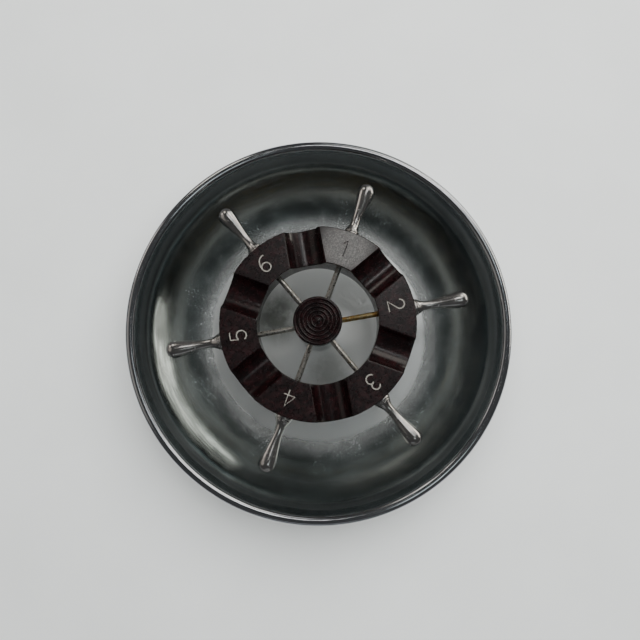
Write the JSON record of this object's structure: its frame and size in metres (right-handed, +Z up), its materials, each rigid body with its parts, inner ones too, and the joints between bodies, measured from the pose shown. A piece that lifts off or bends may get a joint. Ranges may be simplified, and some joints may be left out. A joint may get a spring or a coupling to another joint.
{
  "type": "ship's wheel ashtray",
  "caption": "Round spun-metal bowl with a rolled rim; a numbered ship's wheel of cigarette rests with turned handles spins on a central post.",
  "frame": {"origin": "on the bowl's axis, in the plane that the felt base stands on", "axes": "+Z up along the axis that the wheel turns on; handle 2 points along +X at rest"},
  "size_m": [0.127, 0.127, 0.041],
  "materials": {
    "bowl_chrome": "tarnished chrome plate, cloudy satin on the floor and mirror on the wall",
    "worn_nickel": "worn nickel plate, semi-bright",
    "spoke_nickel": "worn nickel plate, brass showing where it is rubbed through",
    "steel": "plain turned steel",
    "brass": "plain turned brass",
    "bakelite": "aged dark brown phenolic, satin on top and glossier in the rests",
    "numeral_paint": "off-white filler in the cut numerals, worn and dirty",
    "felt": "wool felt"
  },
  "bodies": {
    "base": {"bowl": "bowl_chrome", "base_felt": "felt", "post": "worn_nickel", "base_washer": "steel", "base_screw": "steel", "thrust_washer": "brass", "pivot_washer": "steel", "pivot_screw": "steel"},
    "wheel": {"wheel_ring": "bakelite", "hub_core": "worn_nickel", "hub_bush": "brass", "hub_cap": "bakelite", "spoke_1": "spoke_nickel", "spoke_2": "spoke_nickel", "spoke_3": "spoke_nickel", "spoke_4": "spoke_nickel", "spoke_5": "spoke_nickel", "spoke_6": "spoke_nickel", "handle_1": "worn_nickel", "handle_2": "worn_nickel", "handle_3": "worn_nickel", "handle_4": "worn_nickel", "handle_5": "worn_nickel", "handle_6": "worn_nickel"}
  },
  "joints": [
    {"name": "wheel_spin", "type": "hinge", "parent": "base", "child": "wheel", "pos_m": [0, 0, 0.031], "axis": [0, 0, 1], "continuous": true}
  ]
}
